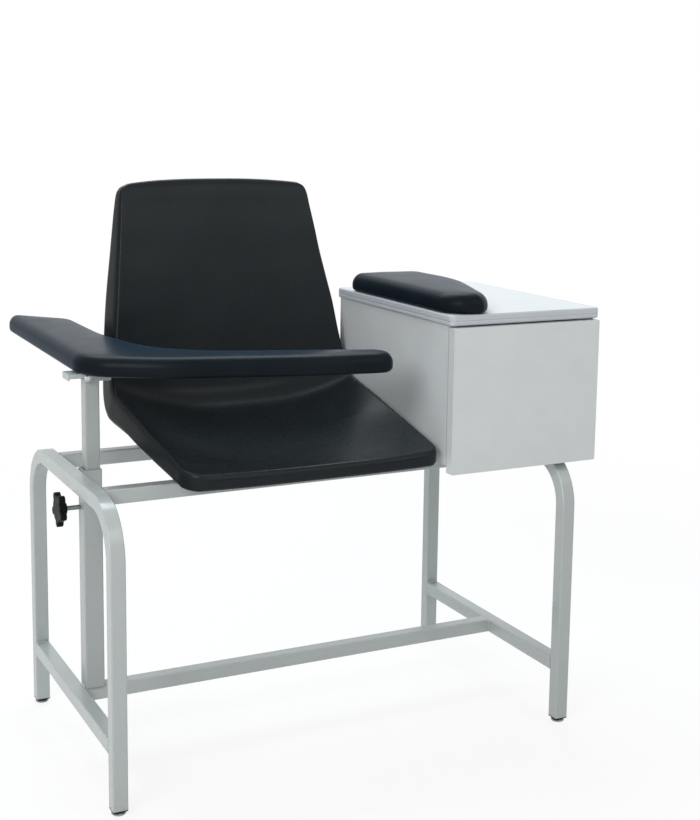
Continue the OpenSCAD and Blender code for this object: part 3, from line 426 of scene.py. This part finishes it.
def seat_rings():
    """Closed sections of the shell, from its front edge over the pan and up the back."""
    table = np.hstack([np.array(RIM_IN), np.array(MID_IN), np.array(RIM_OUT), np.array(MID_OUT),
                       np.array(WIDTH)[:, None]])
    nose = nose_rows(table[0], table[1])
    table = np.vstack([nose, table[2:]])
    mid = table[:, 2:4] * (SEAT_D, SEAT_H)
    arc = np.concatenate([[0], np.cumsum(np.hypot(*np.diff(mid, axis=0).T))])
    last = len(nose) - 1
    at = np.unique(np.concatenate([arc[:last], np.linspace(arc[last], arc[-3], ROWS),
                                   np.linspace(arc[-3], arc[-1], LIP_ROWS)]))
    rows = spline(arc, table, at)
    us = np.sin(np.linspace(-1, 1, COLUMNS) * math.pi / 2) * FACE_SHARE
    rings = []
    for ri_y, ri_z, mi_y, mi_z, ro_y, ro_z, mo_y, mo_z, w in rows:
        ri, mi = np.array((ri_y, ri_z)), np.array((mi_y, mi_z))
        ro, mo = np.array((ro_y, ro_z)), np.array((mo_y, mo_z))
        inner = [(u, mi + (ri - mi) * abs(u) ** IN_POWER) for u in us]
        outer = [(u, mo + (ro - mo) * abs(u) ** OUT_POWER) for u in us]
        side = [(x, ro + (ri - ro) * f) for f, x in SIDE]
        ring = outer + side + inner[::-1] + [(-x, p) for x, p in side[::-1]]
        rings.append([(SEAT_X + x * w * SEAT_W / 2, SEAT_Y + p[0] * SEAT_D, SEAT_Z + p[1] * SEAT_H)
                      for x, p in ring])
    return np.array(rings)


shell = link(rings_mesh("seat_skin", seat_rings()), "seat_skin", SKIN_SHELL, "frame")
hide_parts("seat_shell")


# Arm pads
ARC_STEPS = 14
SAME_POINT = 1e-6


def corner_arc(a, b, c, r, n):
    """Points of the arc that rounds the corner b between a and c with the radius r."""
    u, v = (b - a) / np.linalg.norm(b - a), (c - b) / np.linalg.norm(c - b)
    phi = math.atan2(u[0] * v[1] - u[1] * v[0], u @ v)
    start = b - u * r * math.tan(abs(phi) / 2)
    normal = np.array((-u[1], u[0])) * math.copysign(1, phi)
    centre = start + normal * r
    out = []
    for k in range(n + 1):
        t = phi * k / n
        d = start - centre
        out.append(centre + np.array((d[0] * math.cos(t) - d[1] * math.sin(t),
                                      d[0] * math.sin(t) + d[1] * math.cos(t))))
    return out


def chain(a, corners, e, place, width):
    """Line from a to e by way of corners, each rounded by its own share of the width."""
    ps = [place(a)] + [place(c) for c in corners] + [place(e)]
    out = [ps[0]]
    for i in range(1, len(ps) - 1):
        out += corner_arc(ps[i - 1], ps[i], ps[i + 1], corners[i - 1][2] * width, ARC_STEPS)
    return np.array(out + [ps[-1]])


def evenly(ps, count):
    """The closed line resampled at equal steps."""
    keep = [0] + [i for i in range(1, len(ps)) if np.linalg.norm(ps[i] - ps[i - 1]) > SAME_POINT]
    ps = ps[keep]
    s = np.concatenate([[0], np.cumsum(np.linalg.norm(np.diff(ps, axis=0), axis=1))])
    at = s[-1] * np.linspace(0, 1, count, endpoint=False)
    return np.column_stack([np.interp(at, s, ps[:, j]) for j in (0, 1)])


# The grid's step inside a pad, and how far from the edge it starts, as a share of the step.
FILL_STEP, FILL_START = 0.008, 0.6
CROWN_REACH = 0.022
# Rings around the bottom edge and the top one, and the steps that the top's quarter turn would take.
BOTTOM_RINGS, TOP_RINGS, TOP_TURN = 5, 9, 8.6
PAD_FORM = dict(thick=0.037, crown=0.005, bottom_r=0.009)


def pad_mesh(name, outline, z0, thick, crown, top_r, bottom_r):
    """Pad over a closed plane outline: rounded top and bottom edges and a crowned top, filled by a grid."""
    pts = outline
    area = 0.5 * np.sum(pts[:, 0] * np.roll(pts[:, 1], -1) - np.roll(pts[:, 0], -1) * pts[:, 1])
    if area < 0:
        pts = pts[::-1]
    step = FILL_STEP
    lo, hi = pts.min(0), pts.max(0)
    xs, ys = np.arange(lo[0] + step / 2, hi[0], step), np.arange(lo[1] + step / 2, hi[1], step)
    gx, gy = np.meshgrid(xs, ys)
    grid = np.column_stack([gx.ravel(), gy.ravel()])
    grid[:, 0] += np.where((np.arange(len(grid)) // len(xs)) % 2 == 0, step / 4, -step / 4)

    def inside_dist(q):
        """Distance of each point from the outline, less than 0 outside it."""
        a, b = pts, np.roll(pts, -1, axis=0)
        ab = b - a
        t = np.clip(((q[:, None] - a) * ab).sum(2) / (ab**2).sum(1), 0, 1)
        near = a + t[..., None] * ab
        d = np.linalg.norm(q[:, None] - near, axis=2).min(1)
        cross = ((a[:, 1] > q[:, None, 1]) != (b[:, 1] > q[:, None, 1]))
        with np.errstate(all="ignore"):
            xi = a[:, 0] + (q[:, None, 1] - a[:, 1]) * ab[:, 0] / ab[:, 1]
        inside = (cross & (q[:, None, 0] < xi)).sum(1) % 2 == 1
        return np.where(inside, d, -d)

    def inset(depth):
        """The outline moved inwards."""
        a, b, c = np.roll(pts, 1, axis=0), pts, np.roll(pts, -1, axis=0)
        tan = (c - a) / np.linalg.norm(c - a, axis=1)[:, None]
        return b + np.column_stack([-tan[:, 1], tan[:, 0]]) * depth

    def top_height(d):
        """Height of the top face at the distance d from the outline."""
        d = np.maximum(d, 0)
        edge = np.sqrt(np.maximum(0, 1 - (1 - np.minimum(d / top_r, 1)) ** 2))
        body = 1 - np.exp(-d / CROWN_REACH)
        return z0 + thick - crown - top_r + top_r * edge + crown * body

    rings = []
    for k in range(BOTTOM_RINGS):
        a = math.pi / 2 * k / BOTTOM_RINGS
        rings.append((bottom_r * (1 - math.sin(a)), z0 + bottom_r * (1 - math.cos(a))))
    wall_lo, wall_hi = z0 + bottom_r, z0 + thick - crown - top_r
    for f in (0, 0.5):
        rings.append((0.0, wall_lo + (wall_hi - wall_lo) * f))
    for k in range(TOP_RINGS):
        a = math.pi / 2 * k / TOP_TURN
        d = top_r * (1 - math.cos(a))
        rings.append((d, float(top_height(np.array([d]))[0])))
    n = len(pts)
    verts, faces = [], []
    for depth, z in rings:
        verts += [(p[0], p[1], z) for p in inset(depth)]
    for k in range(len(rings) - 1):
        for i in range(n):
            j = (i + 1) % n
            faces.append((k * n + i, k * n + j, (k + 1) * n + j, (k + 1) * n + i))

    def cap(depth, k, height, flip):
        """Closes ring k, which lies at that depth, with a face of the given height."""
        edge = inset(depth)
        d = inside_dist(grid)
        fill = grid[d > depth + step * FILL_START]
        loop = [Vector(p) for p in edge] + [Vector(p) for p in fill]
        vs, _, fs, origin, _, _ = delaunay_2d_cdt(loop, [], [list(range(n))], 1, SAME_POINT)
        index = {}
        for i, (v, o) in enumerate(zip(vs, origin)):
            if o and o[0] < n:
                index[i] = k * n + o[0]
            else:
                q = np.array([[v.x, v.y]])
                index[i] = len(verts)
                verts.append((v.x, v.y, float(height(inside_dist(q))[0])))
        for f in fs:
            f = [index[i] for i in f]
            if len(set(f)) == len(f):
                faces.append(tuple(f[::-1]) if flip else tuple(f))

    cap(rings[0][0], 0, lambda d: np.full(len(d), z0), True)
    cap(rings[-1][0], len(rings) - 1, top_height, False)
    return solid_mesh(name, verts, faces)


ARM_LO, ARM_SPAN = -0.42395, 0.512
ARM_FRONT, ARM_RUN = -0.221, 0.711
ARM_Z = 0.6781
ARM_TOP_R, ARM_POINTS = 0.016, 260


def arm_place(s):
    """Point of the armrest from its shares of the span and the run."""
    return np.array((ARM_LO + s[0] * ARM_SPAN, ARM_FRONT + s[1] * ARM_RUN))


ARM_ENDS = (0.041, 1), (0.999, 0.049)
arm_out = chain(ARM_ENDS[0], [(0.014, 1, 0.025), (0, 0.229, 0.176), (0.242, 0.125, 0.6),
                              (0.711, 0.031, 0.9), (1, 0, 0.057)], ARM_ENDS[1], arm_place, ARM_SPAN)
arm_in = chain(ARM_ENDS[0], [(0.0635, 1, 0.023), (0.225, 0.871, 0.117), (0.225, 0.578, 0.6),
                             (0.296, 0.257, 0.371), (0.996, 0.089, 0.07)], ARM_ENDS[1], arm_place, ARM_SPAN)
arm_loop = evenly(np.vstack([arm_out, arm_in[::-1][1:]]), ARM_POINTS)
armrest = link(pad_mesh("armrest_cushion", arm_loop, ARM_Z, top_r=ARM_TOP_R, **PAD_FORM),
               "armrest_cushion", SKIN, "armrest")
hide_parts("arm_pad")

PAD_LO, PAD_W = 0.176, 0.154
PAD_FRONT, PAD_L = -0.243, 0.406
PAD_Z = 0.7747
PAD_TOP_R, PAD_POINTS = 0.019, 170


def pad_place(s):
    """Point of the cabinet's pad from its shares of the width and the length."""
    return np.array((PAD_LO + s[0] * PAD_W, PAD_FRONT + s[1] * PAD_L))


PAD_ENDS = (0.416, 1), (0.386, 0)
pad_out = chain(PAD_ENDS[0], [(0, 0.984, 0.143), (0, 0.014, 0.37)], PAD_ENDS[1], pad_place, PAD_W)
pad_in = chain(PAD_ENDS[0], [(1, 0.978, 0.2), (1.04, 0.566, 2.3), (0.535, 0.03, 0.44)], PAD_ENDS[1],
               pad_place, PAD_W)
pad_loop = evenly(np.vstack([pad_out, pad_in[::-1][1:]]), PAD_POINTS)
cabinet_pad = link(pad_mesh("cabinet_cushion", pad_loop, PAD_Z, top_r=PAD_TOP_R, **PAD_FORM),
                   "cabinet_cushion", SKIN, "frame")
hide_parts("cabinet_arm_pad")


# Softened edges on the CAD solids
PANEL_EDGE, PLATE_EDGE, TUBE_EDGE = 0.0009, 0.0005, 0.0003
EDGE_SEGMENTS = 2
SHARP_FROM = math.radians(40)
KNOB_VOXEL, KNOB_SMOOTH, KNOB_ROUNDS = 0.0007, 0.5, 16


def soften(names, width):
    """Bevel of the given width on the sharp edges of the named solids."""
    for name in names:
        mod = frame["nodes"][name].modifiers.new("soft_edges", "BEVEL")
        mod.width = width
        mod.segments = EDGE_SEGMENTS
        mod.limit_method = "ANGLE"
        mod.angle_limit = SHARP_FROM
        mod.harden_normals = True


soften(["cabinet_left_side", "cabinet_right_side", "cabinet_door", "cabinet_bottom", "cabinet_back"],
       PANEL_EDGE)
soften(["arm_channel", "post_saddle"], PLATE_EDGE)
soften(["arm_post", "post_socket"], TUBE_EDGE)
knob = frame["nodes"]["clamp_knob"]
even = knob.modifiers.new("even_mesh", "REMESH")
even.mode = "VOXEL"
even.voxel_size = KNOB_VOXEL
rounded = knob.modifiers.new("rounded_edges", "SMOOTH")
rounded.factor = KNOB_SMOOTH
rounded.iterations = KNOB_ROUNDS


# Weld beads
BEAD_SIZE = 0.0026
BEAD_STEP = 0.0011
BEAD_SINK = 0.0002
BEAD_MIN_STEPS = 8
# How fast a bead swells at its ends, and its least size there as a share.
BEAD_SWELL, BEAD_LEAST = 9, 0.12
# Two waves of ripple: height as a share of the size, and turn for each step.
RIPPLES = (0.13, 2.9), (0.06, 1.3)
SEED_SHIFT = 2.1
# Points across a bead's face, its flatness there and its bulge.
FACE_POINTS = (0.0, 0.25, 0.5, 0.75, 1.0)
FACE_FLAT, FACE_BULGE = 0.62, 0.28


def bead(verts, faces, start, end, side_a, side_b, size, seed):
    """Fillet along start-end in the corner between directions side_a and side_b, with a rippled face."""
    start, end = Vector(start), Vector(end)
    side_a, side_b = Vector(side_a), Vector(side_b)
    steps = max(BEAD_MIN_STEPS, int((end - start).length / BEAD_STEP))
    first = len(verts)
    for k in range(steps + 1):
        t = k / steps
        taper = min(1.0, BEAD_SWELL * t, BEAD_SWELL * (1 - t)) ** 0.5
        ripple = (1 + RIPPLES[0][0] * math.sin(RIPPLES[0][1] * k + seed)
                  + RIPPLES[1][0] * math.sin(RIPPLES[1][1] * k + SEED_SHIFT * seed))
        r = size * max(BEAD_LEAST, taper) * ripple
        at = start.lerp(end, t)
        verts.append(at - BEAD_SINK * (side_a + side_b))
        for a in FACE_POINTS:
            out = FACE_FLAT + (1 - FACE_FLAT) * abs(2 * a - 1) + FACE_BULGE * math.sin(math.pi * a)
            verts.append(at + (side_a * (1 - a) + side_b * a) * r * out)
    m = len(FACE_POINTS) + 1
    for k in range(steps):
        for i in range(m):
            j = (i + 1) % m
            here, after = first + k * m, first + (k + 1) * m
            faces.append((here + i, here + j, after + j, after + i))
    faces.append(tuple(first + i for i in range(m))[::-1])
    faces.append(tuple(first + steps * m + i for i in range(m)))


def weld_piece():
    """All beads of the frame: side rails to legs, cross tubes to rails, socket to stretcher."""
    verts, faces = [], []
    size = inset = BEAD_SIZE
    seed = 0.0
    for name in ("left_side_rail", "right_side_rail"):
        (x0, y0, z0), (x1, y1, z1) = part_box(name)
        for y, s in ((y0, 1), (y1, -1)):
            for z, up_s in ((z0, -1), (z1, 1)):
                seed += 1
                bead(verts, faces, (x0 + inset, y, z), (x1 - inset, y, z), (0, s, 0), (0, 0, up_s),
                     size, seed)
    for name in ("center_stretcher", "front_seat_rail", "rear_seat_rail"):
        (x0, y0, z0), (x1, y1, z1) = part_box(name)
        for x, s in ((x0, 1), (x1, -1)):
            for y, back in ((y0, -1), (y1, 1)):
                seed += 1
                bead(verts, faces, (x, y, z0 + inset), (x, y, z1 - inset), (s, 0, 0), (0, back, 0),
                     size, seed)
    (x0, _, z0), (x1, _, _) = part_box("post_socket")
    (_, y0, _), (_, y1, _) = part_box("center_stretcher")
    for x, s in ((x0, -1), (x1, 1)):
        seed += 1
        bead(verts, faces, (x, y0 + inset, z0), (x, y1 - inset, z0), (s, 0, 0), (0, 0, 1), size, seed)
    return solid_mesh("weld_beads", [tuple(v) for v in verts], faces)


link(weld_piece(), "weld_beads", PAINT, "frame")


# Stage, lights, world
FLOOR_SIZE, FLOOR_GREY = 6.0, 0.9
# Where the floor starts to fade to white and where it is white, and the share of white near the object.
FADE_FROM, FADE_TO, WHITE_SHARE = 0.9, 2.6, 0.86
WORLD_TINT, WORLD_LIGHT = (1.0, 0.98, 0.95, 1), 0.37
SEEN_TINT, SEEN_LIGHT = (1, 1, 1, 1), 1.0


def shown(tree):
    """1 for rays that show the background: from the camera, in gloss and through clear pieces."""
    path = tree.nodes.new("ShaderNodeLightPath")
    best = path.outputs["Is Camera Ray"]
    for ray in ("Is Glossy Ray", "Is Transmission Ray"):
        larger = tree.nodes.new("ShaderNodeMath")
        larger.operation = "MAXIMUM"
        tree.links.new(best, larger.inputs[0])
        tree.links.new(path.outputs[ray], larger.inputs[1])
        best = larger.outputs[0]
    return best


def studio_white(name, near, far, share_near):
    """Pale floor that keeps the soft shadow near the object and runs out to plain white."""
    mat = bpy.data.materials.new(name)
    mat.use_nodes = True
    t = mat.node_tree
    t.nodes.clear()
    out = t.nodes.new("ShaderNodeOutputMaterial")
    diff = t.nodes.new("ShaderNodeBsdfDiffuse")
    diff.inputs["Color"].default_value = (FLOOR_GREY, FLOOR_GREY, FLOOR_GREY, 1)
    glow = t.nodes.new("ShaderNodeEmission")
    coord = t.nodes.new("ShaderNodeTexCoord")
    reach = t.nodes.new("ShaderNodeVectorMath")
    reach.operation = "LENGTH"
    t.links.new(coord.outputs["Object"], reach.inputs[0])
    fade = t.nodes.new("ShaderNodeMapRange")
    fade.interpolation_type = "SMOOTHSTEP"
    for key, value in (("From Min", near), ("From Max", far), ("To Min", share_near), ("To Max", 1.0)):
        fade.inputs[key].default_value = value
    t.links.new(reach.outputs["Value"], fade.inputs["Value"])
    share = t.nodes.new("ShaderNodeMath")
    share.operation = "MULTIPLY"
    t.links.new(shown(t), share.inputs[0])
    t.links.new(fade.outputs[0], share.inputs[1])
    mix = t.nodes.new("ShaderNodeMixShader")
    t.links.new(share.outputs[0], mix.inputs[0])
    t.links.new(diff.outputs[0], mix.inputs[1])
    t.links.new(glow.outputs[0], mix.inputs[2])
    t.links.new(mix.outputs[0], out.inputs[0])
    return mat


floor_mesh = bpy.data.meshes.new("studio_floor")
corners = ((-1, -1), (1, -1), (1, 1), (-1, 1))
floor_mesh.from_pydata([(x * FLOOR_SIZE, y * FLOOR_SIZE, 0) for x, y in corners], [], [(0, 1, 2, 3)])
floor = bpy.data.objects.new("studio_floor", floor_mesh)
bpy.context.scene.collection.objects.link(floor)
floor_mesh.materials.append(studio_white("studio_white", FADE_FROM, FADE_TO, WHITE_SHARE))

world = bpy.data.worlds.new("studio")
bpy.context.scene.world = world
world.use_nodes = True
wt = world.node_tree
wt.nodes.clear()
w_out = wt.nodes.new("ShaderNodeOutputWorld")
w_light = wt.nodes.new("ShaderNodeBackground")
w_light.inputs[0].default_value = WORLD_TINT
w_light.inputs[1].default_value = WORLD_LIGHT
w_seen = wt.nodes.new("ShaderNodeBackground")
w_seen.inputs[0].default_value = SEEN_TINT
w_seen.inputs[1].default_value = SEEN_LIGHT
w_mix = wt.nodes.new("ShaderNodeMixShader")
wt.links.new(shown(wt), w_mix.inputs[0])
wt.links.new(w_light.outputs[0], w_mix.inputs[1])
wt.links.new(w_seen.outputs[0], w_mix.inputs[2])
wt.links.new(w_mix.outputs[0], w_out.inputs[0])


def softbox(name, place, target, size, power, color=(1, 1, 1)):
    """Rectangular area light at place that faces target."""
    data = bpy.data.lights.new(name, "AREA")
    data.shape = "RECTANGLE"
    data.size, data.size_y = size
    data.energy = power
    data.color = color
    lamp = bpy.data.objects.new(name, data)
    bpy.context.scene.collection.objects.link(lamp)
    lamp.location = place
    lamp.rotation_euler = (Vector(target) - Vector(place)).to_track_quat("-Z", "Y").to_euler()


softbox("key", (-2.4, -1.9, 2.2), (0.0, 0.0, 0.55), (1.6, 1.6), 63, (0.98, 0.99, 1.0))
softbox("front", (0.8, -1.6, 1.9), (0.2, 0.1, 0.8), (1.6, 1.0), 8)
softbox("top", (0.1, 1.3, 2.9), (0.0, 0.0, 0.5), (2.4, 1.8), 76, (0.82, 0.92, 1.0))
